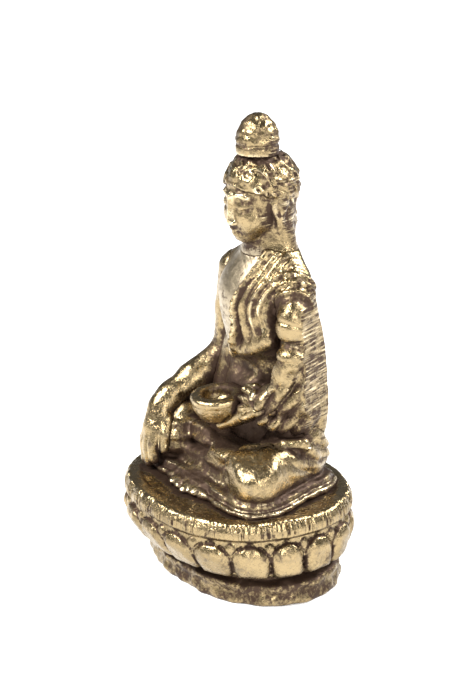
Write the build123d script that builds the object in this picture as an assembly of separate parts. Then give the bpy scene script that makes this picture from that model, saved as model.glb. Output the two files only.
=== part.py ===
from build123d import *
import math
import os

# A small seated figure in cast brass on an oval lotus pedestal, modelled as its separate castings.
#
# The figure sits cross-legged with its right hand reaching down over the knee and an alms bowl in the left
# hand. Millimetres, +Z up, the figure faces -Y and its left side is +X. The origin is on the ground, at the
# middle of the pedestal. Every casting meets its neighbours face to face or across a fitting gap, and is held
# by a spigot, peg, dowel, pin or wedge.

os.makedirs("parts", exist_ok=True)

# ---------------------------------------------------------------- driving dimensions
# Pedestal, a hollow casting that is open underneath.
rim_length = 32.7
rim_depth = 27.8
foot_length = 29.6
foot_depth = 20.8
foot_back = 1.1
pedestal_height = 12.1
foot_thickness = 3.0
waist_height = 0.7
waist_inset = 1.3
rim_band_height = 2.2
band_inset = 0.7
pedestal_wall = 1.5
top_thickness = 1.6
petal_count = 18
petal_width = 4.5
petal_lift = 0.9
petal_share = 0.62

# Base plate, a sheet let into the underside and held by burrs raised from the wall.
plate_thickness = 0.6
plate_recess = 0.5
plate_ledge = 0.7
plate_gap = 0.06
burr_count = 8
burr_radius = 0.35

# Crossed legs and the hem of the robe under them.
hem_thickness = 1.6
hem_reach = 1.2
knee_spread = 9.8
knee_forward = 3.4
knee_radius = 3.2
knee_height = 3.9
hip_spread = 5.4
hip_back = 6.3
hip_radius = 4.0
shin_radius = 2.3
shin_forward = 1.4
shin_sink = 0.6
foot_radius = 1.5
heel_side = 1.6
toe_inset = 3.0
lap_height = 6.2
lap_radius = 6.6

# Torso, as half width and half depth at each level above the lap.
torso_height = 23.4
torso_back = 4.6
hip_half_width = 7.0
hip_half_depth = 5.2
waist_half_width = 6.2
waist_half_depth = 4.2
chest_half_width = 7.0
chest_half_depth = 4.8
shoulder_half_width = 6.1
shoulder_half_depth = 4.0
nape_half_width = 3.7
nape_half_depth = 3.4

# Arms.
shoulder_radius = 2.8
shoulder_drop = 3.6
sleeve_elbow_radius = 2.7
sleeve_wrist_radius = 1.8
bare_elbow_radius = 2.1
bare_wrist_radius = 1.35
fingertip_radius = 0.9
palm_radius = 1.3
hand_gap = 0.25
elbow_splay = 2.3
upper_arm_length = 12.2
sleeve_hang = 2.6
cuff_forward = 5.0

# Head, with the neck in one piece with it, and the topknot on it.
neck_radius = 2.9
neck_back = 1.8
neck_length = 4.4
head_half_width = 4.95
head_half_height = 6.0
head_forward = 1.5
chin_drop = 2.0
topknot_radius = 2.7
topknot_height = 4.8
topknot_collar = 0.9
crown_cut = 0.9

# Alms bowl.
bowl_radius = 3.2
bowl_height = 3.6
bowl_wall = 0.7
bowl_foot_radius = 1.6
bowl_side = 0.5
bowl_forward = 3.1
bowl_above_lap = 2.9
bowl_lip_inset = 0.25

# Fixings.
tang_length = 2.4
tang_width = 1.6
tang_spread = 5.0
tang_tail = 2.6
wedge_height = 1.0
wedge_thickness = 0.9
wedge_length = 4.6
spigot_radius = 3.0
spigot_depth = 2.4
tenon_radius = 1.3
tenon_depth = 3.0
topknot_peg_radius = 0.8
topknot_peg_depth = 2.0
dowel_radius = 0.7
dowel_length = 4.0
waist_pin_radius = 0.5
wrist_peg_radius = 0.7
wrist_peg_depth = 1.8
bowl_peg_radius = 0.55
bowl_peg_depth = 0.9

# Fits.
fit_gap = 0.04
seam_gap = 0.05

# ---------------------------------------------------------------- levels and places
seat_z = pedestal_height
lap_z = seat_z + lap_height
nape_z = lap_z + torso_height
shoulder_z = nape_z - shoulder_drop
head_z = nape_z + neck_length - chin_drop + head_half_height
crown_z = head_z + head_half_height - crown_cut
cavity_z = pedestal_height - top_thickness
inner_length = foot_length - 2 * waist_inset - 2 * pedestal_wall
inner_depth = foot_depth - 2 * waist_inset - 2 * pedestal_wall

head_y = torso_back - head_forward
neck_y = head_y + neck_back
shoulder_x = shoulder_half_width + 0.3 * shoulder_radius
elbow_x = shoulder_x + elbow_splay
elbow_z = shoulder_z - upper_arm_length
knee_z = seat_z + knee_height
bowl_z = lap_z + bowl_above_lap
dowel_z = shoulder_z - 0.5 * shoulder_radius


# ---------------------------------------------------------------- building blocks
def limb(start, end, start_radius, end_radius):
    """A round limb: two balls joined by the cone that touches both."""
    a, b = Vector(*start), Vector(*end)
    length = (b - a).length
    slope = (start_radius - end_radius) / length
    rise = math.sqrt(1 - slope * slope)
    near = (start_radius * rise, start_radius * slope)
    far = (end_radius * rise, length + end_radius * slope)
    bisect_near = (start_radius * math.cos(math.asin(slope) / 2 - math.pi / 4),
                   start_radius * math.sin(math.asin(slope) / 2 - math.pi / 4))
    bisect_far = (end_radius * math.cos(math.asin(slope) / 2 + math.pi / 4),
                  length + end_radius * math.sin(math.asin(slope) / 2 + math.pi / 4))
    outline = [
        ThreePointArc((0, -start_radius), bisect_near, near),
        Line(near, far),
        ThreePointArc(far, bisect_far, (0, length + end_radius)),
        Line((0, length + end_radius), (0, -start_radius)),
    ]
    profile = Plane.XZ * make_face(outline)
    return Plane(origin=a, z_dir=b - a) * revolve(profile, Axis.Z)


def oval(length, depth, z, y=0.0):
    """An oval face of that length and depth, flat at height z."""
    return Pos(0, y, z) * Ellipse(length / 2, depth / 2)


def tapered_oval(low, high):
    """A solid between two ovals, each given as (length, depth, z, y)."""
    return loft([oval(*low), oval(*high)], ruled=True)


def rod(radius, start, end):
    """A plain round rod between two points."""
    a, b = Vector(*start), Vector(*end)
    return Plane(origin=a, z_dir=b - a) * Cylinder(
        radius, (b - a).length, align=(Align.CENTER, Align.CENTER, Align.MIN))


def egg(half_width, half_height, centre):
    """An upright egg, round seen from above."""
    outline = [
        EllipticalCenterArc((0, 0), half_width, half_height, start_angle=-90, arc_size=180),
        Line((0, half_height), (0, -half_height)),
    ]
    return Pos(*centre) * revolve(Plane.XZ * make_face(outline), Axis.Z)


# ---------------------------------------------------------------- castings
def tang_places():
    """The middle of each tang on the seat plane."""
    return [(side * tang_spread, torso_back / 2) for side in (-1, 1)]


def lotus_pedestal():
    """The pedestal: a foot, a narrow waist, a band of petals and a rim, hollowed from below."""
    waist_z = foot_thickness + waist_height
    band_z = pedestal_height - rim_band_height
    groove = 2 * waist_inset
    shell = tapered_oval((foot_length, foot_depth, 0, foot_back),
                         (foot_length - waist_inset, foot_depth - waist_inset, foot_thickness, foot_back))
    shell += oval_prism(foot_length - groove, foot_depth - groove, foot_thickness, waist_z, foot_back)
    shell += tapered_oval((foot_length - waist_inset, foot_depth - waist_inset, waist_z, foot_back),
                          (rim_length - 2 * band_inset, rim_depth - 2 * band_inset, band_z, 0))
    shell += tapered_oval((rim_length - band_inset, rim_depth - band_inset, band_z, 0),
                          (rim_length, rim_depth, pedestal_height - band_inset, 0))
    shell += tapered_oval((rim_length, rim_depth, pedestal_height - band_inset, 0),
                          (rim_length - band_inset, rim_depth - band_inset, pedestal_height, 0))
    shell += petals(waist_z, band_z)

    shell -= oval_prism(inner_length, inner_depth, -1, cavity_z, foot_back)
    shell -= oval_prism(inner_length + 2 * plate_ledge, inner_depth + 2 * plate_ledge,
                        -1, plate_recess + plate_thickness, foot_back)
    for x, y in tang_places():
        shell -= Pos(x, y, cavity_z - 1) * Box(
            tang_length + 2 * fit_gap, tang_width + 2 * fit_gap, top_thickness + 2,
            align=(Align.CENTER, Align.CENTER, Align.MIN))
    shell += burrs(inner_length / 2 + plate_ledge, inner_depth / 2 + plate_ledge)
    return shell


def oval_prism(length, depth, low_z, high_z, y):
    """An upright oval prism."""
    return extrude(oval(length, depth, low_z, y), high_z - low_z)


def petals(low_z, high_z):
    """A ring of rounded petals, each the front of an egg that is mostly buried in the pedestal's wall."""
    solids = []
    egg_radius = (petal_width ** 2 / 4 + petal_lift ** 2) / (2 * petal_lift)
    half_length = (foot_length + rim_length) / 4 - waist_inset / 4 - band_inset / 2
    half_depth = (foot_depth + rim_depth) / 4 - waist_inset / 4 - band_inset / 2
    lobe = egg(egg_radius, petal_share * (high_z - low_z), (petal_lift - egg_radius, 0, 0))
    for k in range(petal_count):
        turn = 2 * math.pi * (k + 0.5) / petal_count
        x, y = half_length * math.cos(turn), half_depth * math.sin(turn)
        out = math.degrees(math.atan2(y / half_depth ** 2, x / half_length ** 2))
        place = Pos(x, y + foot_back / 2, (low_z + high_z) / 2)
        solids.append(place * Rot(0, 0, out) * lobe)
    return solids


def burrs(half_length, half_depth):
    """Small burrs round the rebate, which keep the base plate in."""
    solids = []
    for k in range(burr_count):
        turn = 2 * math.pi * (k + 0.5) / burr_count
        place = Pos(half_length * math.cos(turn), foot_back + half_depth * math.sin(turn), 0)
        solids.append(place * Cylinder(burr_radius, plate_recess - fit_gap,
                                       align=(Align.CENTER, Align.CENTER, Align.MIN)))
    return solids


def base_plate():
    """The sheet that closes the pedestal, seated against the shoulder of the rebate."""
    reach = 2 * (plate_ledge - plate_gap)
    return oval_prism(inner_length + reach, inner_depth + reach,
                      plate_recess, plate_recess + plate_thickness, foot_back)


def knee(side):
    return (side * knee_spread, -knee_forward, knee_z)


def thigh(side, grow=0.0):
    """One leg from hip to knee."""
    hip = (side * hip_spread, hip_back, seat_z + hip_radius)
    return limb(hip, knee(side), hip_radius + grow, knee_radius + grow)


def folded_foot(side, grow=0.0):
    """One foot, turned up on the lap with its toes over the other thigh."""
    heel = (side * heel_side, -knee_forward + 0.1, lap_z - 0.3)
    toes = (side * (knee_spread - toe_inset), -knee_forward + heel_side, lap_z + 0.5)
    return limb(heel, toes, foot_radius + grow, foot_radius - 0.2 + grow)


def hem():
    """The hem of the robe, a flat lip round both knees and the seat."""
    circles = [Pos(side * knee_spread, -knee_forward) * Circle(knee_radius + hem_reach) for side in (-1, 1)]
    circles += [Pos(side * hip_spread, hip_back) * Circle(hip_radius + hem_reach / 2) for side in (-1, 1)]
    edges = [c.edge() for c in circles]
    return extrude(Pos(0, 0, seat_z) * make_face(make_hull(edges)), hem_thickness)


def legs_outer():
    """The crossed legs before any hole is cut."""
    body = hem()
    shin_z = seat_z + hem_thickness + shin_radius - shin_sink
    shin_y = -knee_forward - shin_forward
    for side in (-1, 1):
        body += thigh(side)
    body += limb((-knee_spread + 1, shin_y, shin_z), (knee_spread - 1, shin_y + 0.3, shin_z + 0.2),
                 shin_radius, shin_radius + 0.1)
    for side in (-1, 1):
        body += folded_foot(side)
    lap = Pos(0, hip_back / 2, seat_z) * Cylinder(
        lap_radius, lap_height, align=(Align.CENTER, Align.CENTER, Align.MIN))
    return body + lap


def crossed_legs():
    """The lower casting: legs, feet and hem, with two tangs below and a bore for the torso's spigot."""
    body = legs_outer()
    seat = Pos(0, 0, seat_z) * Box(100, 100, 50, align=(Align.CENTER, Align.CENTER, Align.MAX))
    body -= seat
    body -= torso_outer(seam_gap)
    body -= rod(spigot_radius + fit_gap,
                (0, torso_back, lap_z - spigot_depth - fit_gap),
                (0, torso_back, lap_z + 1))
    body -= rod(waist_pin_radius + fit_gap, *waist_pin_ends(2 * fit_gap))
    tail_z = cavity_z - tang_tail
    for x, y in tang_places():
        tang = Pos(x, y, tail_z) * Box(tang_length, tang_width, seat_z - tail_z + 0.5,
                                       align=(Align.CENTER, Align.CENTER, Align.MIN))
        slot = Pos(x, y, cavity_z - wedge_height - fit_gap) * Box(
            wedge_thickness + 2 * fit_gap, tang_width + 2, wedge_height + fit_gap + 0.2,
            align=(Align.CENTER, Align.CENTER, Align.MIN))
        body += tang - slot
    return body


def tang_wedges():
    """A wedge through each tang, driven in under the pedestal's top."""
    wedges = []
    for x, y in tang_places():
        side = make_face(Polyline(
            (-wedge_length / 2, 0), (wedge_length / 2, 0),
            (wedge_length / 2, -wedge_height), (-wedge_length / 2, -0.75 * wedge_height), close=True))
        wedge = extrude(Plane.YZ * side, wedge_thickness / 2, both=True)
        wedges.append(Pos(x, y, cavity_z) * wedge)
    return Compound(wedges)


def waist_pin_ends(extra=0.0):
    """The pin runs in from the back of the lap, across the torso's spigot."""
    pin_z = lap_z - spigot_depth / 2
    return ((0, hip_back / 2 + lap_radius + extra, pin_z),
            (0, torso_back - spigot_radius + 0.6 - extra, pin_z))


def waist_pin():
    return rod(waist_pin_radius, *waist_pin_ends())


def torso_outer(grow=0.0):
    """The torso's outside, a smooth loft of ovals from the lap to the nape."""
    levels = [
        (hip_half_width, hip_half_depth, torso_back, lap_z),
        (waist_half_width + 0.3, waist_half_depth + 0.3, torso_back + 0.2, lap_z + 0.2 * torso_height),
        (waist_half_width, waist_half_depth, torso_back, lap_z + 0.42 * torso_height),
        (chest_half_width, chest_half_depth, torso_back - 1.3, nape_z - 0.3 * torso_height),
        (shoulder_half_width, shoulder_half_depth, torso_back - 0.5, shoulder_z),
        (nape_half_width, nape_half_depth, neck_y, nape_z),
    ]
    return loft([oval(2 * (w + grow), 2 * (d + grow), z, y) for w, d, y, z in levels])


def torso():
    """The upper body, with a spigot into the legs and bores for the head and the arms' dowels."""
    body = torso_outer()
    body += rod(spigot_radius, (0, torso_back, lap_z - spigot_depth), (0, torso_back, lap_z + 0.5))
    body -= rod(waist_pin_radius + fit_gap, *waist_pin_ends(2 * fit_gap))
    body -= rod(tenon_radius + fit_gap, (0, neck_y, nape_z - tenon_depth - fit_gap), (0, neck_y, nape_z + 1))
    body -= bowl_outer(seam_gap)
    for side in (-1, 1):
        body -= rod(dowel_radius + fit_gap, *dowel_ends(side, fit_gap))
    return body


def dowel_ends(side, extra=0.0):
    """Each dowel lies across the joint between the torso and an arm."""
    middle = shoulder_half_width - 0.2
    y = torso_back - 0.4
    return ((side * (middle - dowel_length / 2 - extra), y, dowel_z),
            (side * (middle + dowel_length / 2 + extra), y, dowel_z))


def shoulder_dowels():
    return Compound([rod(dowel_radius, *dowel_ends(side)) for side in (-1, 1)])


def shoulder(side):
    return (side * shoulder_x, torso_back, shoulder_z)


def elbow(side, back):
    return (side * elbow_x, torso_back + back, elbow_z)


def right_arm_outer():
    """The bare right arm, reaching forward over the knee, with the hand hanging down in front of it."""
    joint = elbow(-1, -0.6)
    front_y = -knee_forward - knee_radius
    over_knee = (-elbow_x - 0.2, -knee_forward - 1.8, knee_z + knee_radius + bare_wrist_radius + 0.2)
    knuckles = (-knee_spread - 0.2, front_y - bare_wrist_radius - hand_gap, knee_z + 1.2)
    tips_y = front_y - hem_reach - fingertip_radius - hand_gap
    tips = (-knee_spread + 1.2, tips_y, seat_z + fingertip_radius + 0.1)
    arm = limb(shoulder(-1), joint, shoulder_radius, bare_elbow_radius)
    arm += limb(joint, over_knee, bare_elbow_radius + 0.05, bare_wrist_radius)
    arm += limb(over_knee, knuckles, bare_wrist_radius + 0.05, bare_wrist_radius - 0.1)
    arm += limb(knuckles, tips, bare_wrist_radius - 0.15, fingertip_radius)
    return arm


def right_arm():
    arm = right_arm_outer() - torso_outer(seam_gap)
    arm -= rod(dowel_radius + fit_gap, *dowel_ends(-1, fit_gap))
    return main_solid(arm - thigh(-1, seam_gap))


def wrist():
    """The middle of the left cuff."""
    return (hip_half_width, torso_back - cuff_forward, bowl_z + bowl_height - 0.2)


def palm():
    return (bowl_side + 1.2, -bowl_forward, bowl_z - 0.4)


def left_arm():
    """The sleeved left arm, bent across the front of the body, cut off square at the wrist."""
    joint = elbow(1, 0.2)
    low = (joint[0] - 0.8, joint[1], joint[2] - sleeve_hang)
    arm = limb(shoulder(1), joint, shoulder_radius + 0.1, sleeve_elbow_radius)
    arm += limb(joint, low, sleeve_elbow_radius - 0.1, sleeve_elbow_radius - 0.6)
    arm += limb(joint, wrist(), sleeve_elbow_radius + 0.05, sleeve_wrist_radius)
    arm -= torso_outer(seam_gap)
    arm -= rod(dowel_radius + fit_gap, *dowel_ends(1, fit_gap))
    arm -= cuff_plane() * Box(40, 40, 20, align=(Align.CENTER, Align.CENTER, Align.MIN))
    arm -= wrist_peg(fit_gap)
    arm -= bowl_outer(seam_gap)
    arm -= thigh(1, seam_gap)
    return main_solid(arm)


def cuff_plane():
    """The plane across the wrist where sleeve and hand meet."""
    a, b = Vector(*wrist()), Vector(*palm())
    return Plane(origin=a, z_dir=b - a)


def wrist_peg(grow=0.0):
    return cuff_plane() * Pos(0, 0, -wrist_peg_depth - grow) * Cylinder(
        wrist_peg_radius + grow, wrist_peg_depth + 1 + grow, align=(Align.CENTER, Align.CENTER, Align.MIN))


def left_hand():
    """The left hand, pegged into the sleeve, palm up under the bowl."""
    reach = (Vector(*palm()) - Vector(*wrist())).length
    hand = cuff_plane() * Cone(sleeve_wrist_radius - 0.3, 0.9 * palm_radius, reach,
                               align=(Align.CENTER, Align.CENTER, Align.MIN))
    hand += Pos(*palm()) * Sphere(palm_radius)
    hand += wrist_peg()
    hand -= bowl_outer(0.0)
    hand -= bowl_peg(fit_gap)
    hand -= torso_outer(seam_gap)
    for side in (-1, 1):
        hand -= folded_foot(side, seam_gap)
    return main_solid(hand)


def bowl_place():
    return Pos(bowl_side, -bowl_forward, bowl_z)


def bowl_outer(grow=0.0):
    """The bowl's outside, filled, with its flat foot at the bottom."""
    belly_z = 0.72 * bowl_height
    outline = [
        Line((0, -grow), (bowl_foot_radius + grow, -grow)),
        ThreePointArc((bowl_foot_radius + grow, -grow),
                      (0.86 * bowl_radius + grow, 0.3 * bowl_height),
                      (bowl_radius + grow, belly_z)),
        Line((bowl_radius + grow, belly_z), (bowl_radius - bowl_lip_inset + grow, bowl_height + grow)),
        Line((bowl_radius - bowl_lip_inset + grow, bowl_height + grow), (0, bowl_height + grow)),
        Line((0, bowl_height + grow), (0, -grow)),
    ]
    return bowl_place() * revolve(Plane.XZ * make_face(outline), Axis.Z)


def bowl_peg(grow=0.0):
    return bowl_place() * Pos(0, 0, -bowl_peg_depth - grow) * Cylinder(
        bowl_peg_radius + grow, bowl_peg_depth + 1 + grow, align=(Align.CENTER, Align.CENTER, Align.MIN))


def alms_bowl():
    """A thick round bowl, open at the top, with a peg under its foot."""
    inner = bowl_radius - bowl_wall
    floor_z = 2 * bowl_wall
    outline = [
        Line((0, floor_z), (0.4 * inner, floor_z)),
        ThreePointArc((0.4 * inner, floor_z),
                      (0.85 * inner, floor_z + 0.25 * bowl_height),
                      (inner, 0.8 * bowl_height)),
        Line((inner, 0.8 * bowl_height), (inner - 0.15, bowl_height + 1)),
        Line((inner - 0.15, bowl_height + 1), (0, bowl_height + 1)),
        Line((0, bowl_height + 1), (0, floor_z)),
    ]
    hollow = bowl_place() * revolve(Plane.XZ * make_face(outline), Axis.Z)
    return bowl_outer() - hollow + bowl_peg()


def head():
    """Neck and head in one casting, flat on top for the topknot, with a tenon into the torso."""
    centre = (0, head_y, head_z)
    body = egg(head_half_width, head_half_height, centre)
    body += rod(neck_radius, (0, neck_y, nape_z), (0, neck_y, head_z))
    body += rod(tenon_radius, (0, neck_y, nape_z - tenon_depth), (0, neck_y, nape_z + 1))
    body -= Pos(0, head_y, crown_z) * Box(30, 30, 10, align=(Align.CENTER, Align.CENTER, Align.MIN))
    body -= rod(topknot_peg_radius + fit_gap, (0, head_y, crown_z - topknot_peg_depth - fit_gap),
                (0, head_y, crown_z + 1))
    return body


def topknot():
    """The domed topknot on its collar, with a peg into the crown."""
    dome_low = crown_z + topknot_collar + 0.9
    tip_radius = 0.75 * topknot_radius
    dome = limb((0, head_y, dome_low), (0, head_y, crown_z + topknot_height - tip_radius),
                topknot_radius, tip_radius)
    dome -= Pos(0, head_y, crown_z + 0.5 * topknot_collar) * Box(
        30, 30, 10, align=(Align.CENTER, Align.CENTER, Align.MAX))
    collar = rod(topknot_radius - 0.2, (0, head_y, crown_z), (0, head_y, crown_z + topknot_collar))
    peg = rod(topknot_peg_radius, (0, head_y, crown_z - topknot_peg_depth), (0, head_y, crown_z + 0.5))
    return dome + collar + peg


def main_solid(shape):
    """The largest solid of a shape, without slivers that a cut left behind."""
    return max(shape.solids(), key=lambda s: s.volume)


# ---------------------------------------------------------------- files
nodes = {
    "lotus_pedestal": lotus_pedestal,
    "base_plate": base_plate,
    "crossed_legs": crossed_legs,
    "tang_wedges": tang_wedges,
    "waist_pin": waist_pin,
    "torso": torso,
    "shoulder_dowels": shoulder_dowels,
    "right_arm": right_arm,
    "left_arm": left_arm,
    "left_hand": left_hand,
    "alms_bowl": alms_bowl,
    "head": head,
    "topknot": topknot,
}
for name, make in nodes.items():
    export_step(make(), f"parts/{name}.step")
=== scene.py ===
import math

import bpy
import numpy as np
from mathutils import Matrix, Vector


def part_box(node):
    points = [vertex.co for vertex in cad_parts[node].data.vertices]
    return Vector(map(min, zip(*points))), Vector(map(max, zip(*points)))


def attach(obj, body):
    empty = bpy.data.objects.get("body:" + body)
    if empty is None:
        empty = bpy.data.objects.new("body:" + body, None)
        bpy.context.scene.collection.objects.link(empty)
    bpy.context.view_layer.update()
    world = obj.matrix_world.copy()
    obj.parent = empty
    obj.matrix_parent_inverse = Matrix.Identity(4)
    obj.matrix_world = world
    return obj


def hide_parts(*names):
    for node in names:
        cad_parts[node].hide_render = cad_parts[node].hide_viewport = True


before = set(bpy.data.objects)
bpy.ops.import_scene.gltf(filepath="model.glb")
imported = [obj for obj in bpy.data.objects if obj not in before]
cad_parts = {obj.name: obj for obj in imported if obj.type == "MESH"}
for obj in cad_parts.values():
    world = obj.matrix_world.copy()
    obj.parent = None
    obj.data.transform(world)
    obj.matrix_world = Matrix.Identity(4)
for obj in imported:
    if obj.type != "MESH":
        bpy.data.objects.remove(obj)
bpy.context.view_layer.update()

# A small cast brass figure on a lotus pedestal. Each casting is sculpted as a signed distance on a block
# of points, meshed, and given a patina and painted shade that follow its own hollows and edges, with painted
# light in some places. Sculpting is in millimetres in the frame's axes, and the meshes are in metres.

MM = 0.001

# ---------------------------------------------------------------- sizes, in millimetres
STEP = 0.16  # spacing of the points that the figure is sculpted on
PEDESTAL_STEP = STEP * 1.12
MARGIN = 0.6  # room left above and below the form in a block
FAR = 3.0  # distances are not kept beyond this


def node_box(node):
    """A node's lowest and highest corners, in millimetres."""
    low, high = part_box(node)
    return np.array(low) / MM, np.array(high) / MM


def from_low(node, x, y, z):
    """A point set off from the lowest corner of a node's box."""
    return node_box(node)[0] + (x, y, z)


def from_high(node, x, y, z):
    """A point set off from the highest corner of a node's box."""
    return node_box(node)[1] + (x, y, z)


seat = node_box("lotus_pedestal")[1][2]
rim_half = node_box("lotus_pedestal")[1][:2]
plate_low, plate_high = node_box("base_plate")
crown = node_box("topknot")[1][2]
bowl_low, bowl_high = node_box("alms_bowl")
bowl_x = (bowl_low[0] + bowl_high[0]) / 2
bowl_y = (bowl_low[1] + bowl_high[1]) / 2
bowl_rim = bowl_high[2]


# ---------------------------------------------------------------- signed distances
class Shape:
    """A closed form: its box, and its signed distance at x, y, z."""

    def __init__(self, low, high, distance):
        self.low, self.high, self.distance = np.array(low, float), np.array(high, float), distance


def limb(a, b, start, end):
    """A round limb from a to b, with a radius at each end."""
    a, b = np.array(a, float), np.array(b, float)
    run = b - a
    square = run @ run
    most = max(start, end)

    def distance(x, y, z):
        t = ((x - a[0]) * run[0] + (y - a[1]) * run[1] + (z - a[2]) * run[2]) / square
        t = np.clip(t, 0, 1)
        gap = (x - a[0] - t * run[0]) ** 2 + (y - a[1] - t * run[1]) ** 2 + (z - a[2] - t * run[2]) ** 2
        return np.sqrt(gap) - (start + (end - start) * t)

    return Shape(np.minimum(a, b) - most, np.maximum(a, b) + most, distance)


def egg(centre, radii, turn=None):
    """An ellipsoid, turned by a rotation matrix if one is given."""
    c, r = np.array(centre, float), np.array(radii, float)
    reach = r if turn is None else np.full(3, r.max())

    def distance(x, y, z):
        x, y, z = x - c[0], y - c[1], z - c[2]
        if turn is not None:
            x, y, z = (turn[0][i] * x + turn[1][i] * y + turn[2][i] * z for i in range(3))
        near = np.sqrt((x / r[0]) ** 2 + (y / r[1]) ** 2 + (z / r[2]) ** 2) + 1e-6
        slope = np.sqrt((x / r[0] ** 2) ** 2 + (y / r[1] ** 2) ** 2 + (z / r[2] ** 2) ** 2) + 1e-6
        return near * (near - 1) / slope

    return Shape(c - reach, c + reach, distance)


def strand(points, radii):
    """A round strand through points, with a radius at each."""
    pieces = [limb(points[i], points[i + 1], radii[i], radii[i + 1]) for i in range(len(points) - 1)]

    def distance(x, y, z):
        out = pieces[0].distance(x, y, z)
        for p in pieces[1:]:
            out = np.minimum(out, p.distance(x, y, z))
        return out

    return Shape(np.min([p.low for p in pieces], 0), np.max([p.high for p in pieces], 0), distance)


def turned(shape, centre, turn, size=1.0):
    """A shape made round the origin, turned, resized and then set at a centre."""
    c = np.array(centre, float)
    reach = np.abs(np.array([shape.low, shape.high])).max(0)
    reach = size * np.abs(turn) @ reach

    def distance(x, y, z):
        x, y, z = (x - c[0]) / size, (y - c[1]) / size, (z - c[2]) / size
        return size * shape.distance(*(turn[0][i] * x + turn[1][i] * y + turn[2][i] * z for i in range(3)))

    return Shape(c - reach, c + reach, distance)


def tilt(degrees, axis="X"):
    """The rotation matrix of a turn about the X or Z axis."""
    c, s = math.cos(math.radians(degrees)), math.sin(math.radians(degrees))
    if axis == "X":
        return np.array([[1, 0, 0], [0, c, -s], [0, s, c]])
    return np.array([[c, -s, 0], [s, c, 0], [0, 0, 1]])


def blend_min(a, b, k):
    """The union of two distances, rounded over about k where they meet."""
    h = np.clip(0.5 + 0.5 * (b - a) / k, 0, 1)
    return b + (a - b) * h - k * h * (1 - h)


def bell(x, width):
    """A smooth bump of height 1 at x = 0."""
    return np.exp(-(x / width) ** 2)


def distance_from(point, x, y, z):
    """The straight distance from a point."""
    return np.sqrt((x - point[0]) ** 2 + (y - point[1]) ** 2 + (z - point[2]) ** 2)


def ramp(x, low, high):
    """A smooth rise from 0 at low to 1 at high."""
    t = np.clip((x - low) / (high - low), 0, 1)
    return t * t * (3 - 2 * t)


class Block:
    """Signed distances of several castings on one block of points."""

    def __init__(self, low, high, step):
        self.low, self.step = np.array(low, float), step
        self.axes = [np.arange(a, b + step, step, dtype=np.float32) for a, b in zip(low, high)]
        self.size = tuple(len(a) for a in self.axes)
        self.layers = {}

    def begin(self, name):
        """Starts an empty layer for one casting."""
        self.layers[name] = np.full(self.size, FAR, np.float32)
        self.now = self.layers[name]

    def window(self, low, high, spare):
        """The part of the block inside a box with some room to spare."""
        first = np.floor((low - spare - self.low) / self.step)
        first = np.clip(first, 0, np.array(self.size) - 1).astype(int)
        last = np.ceil((high + spare - self.low) / self.step) + 1
        last = np.clip(last, first + 1, self.size).astype(int)
        return tuple(slice(a, b) for a, b in zip(first, last))

    def points(self, w):
        x, y, z = self.axes
        return x[w[0], None, None], y[None, w[1], None], z[None, None, w[2]]

    def add(self, shape, k):
        """Joins a shape to the layer, rounded over k."""
        w = self.window(shape.low, shape.high, FAR)
        d = shape.distance(*self.points(w))
        self.now[w] = blend_min(self.now[w], np.minimum(d, FAR), k)

    def carve(self, shape, k):
        """Cuts a shape out of the layer, rounded over k."""
        w = self.window(shape.low, shape.high, 1.0)
        self.now[w] = -blend_min(-self.now[w], shape.distance(*self.points(w)), k)

    def flatten(self, low, high, reach, facing, k):
        """Cuts the layer off flat inside a box, at a reach from the origin along the way it faces."""
        w = self.window(np.array(low, float), np.array(high, float), 0)
        x, y, z = self.points(w)
        cut = reach(z) - facing[0] * x - facing[1] * y - facing[2] * z
        self.now[w] = -blend_min(-self.now[w], cut, k)

    def emboss(self, low, high, height):
        """Raises the surface inside a box by height(x, y, z)."""
        w = self.window(np.array(low, float), np.array(high, float), 0)
        self.now[w] -= height(*self.points(w))

    def merged(self, blends):
        """All the layers joined, each rounded into the rest by its own amount."""
        whole = np.full(self.size, FAR, np.float32)
        for name, layer in self.layers.items():
            whole = blend_min(whole, layer, blends.get(name, 0.3))
        return whole


# ---------------------------------------------------------------- surfaces
def corner_share(f, dx, dy, dz):
    """How much a point at f inside a cell takes from the cell's corner dx, dy, dz."""
    return np.abs(1 - dx - f[:, 0]) * np.abs(1 - dy - f[:, 1]) * np.abs(1 - dz - f[:, 2])


def sample(field, low, step, p):
    """The field at points p, between its samples in a straight line, and growing evenly outside the block."""
    wanted = (p - low) / step
    q = np.clip(wanted, 0, np.array(field.shape) - 1.001)
    out = np.linalg.norm(wanted - q, axis=1) * step
    i = q.astype(int)
    f = q - i
    for dx in (0, 1):
        for dy in (0, 1):
            for dz in (0, 1):
                weight = corner_share(f, dx, dy, dz)
                out = out + weight * field[i[:, 0] + dx, i[:, 1] + dy, i[:, 2] + dz]
    return out


def slope(field, low, step, p):
    """The field's unit gradient at points p."""
    g = np.stack([sample(field, low, step, p + e) - sample(field, low, step, p - e)
                  for e in np.eye(3) * 0.7 * step], 1)
    return g / (np.linalg.norm(g, axis=1, keepdims=True) + 1e-9)


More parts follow.
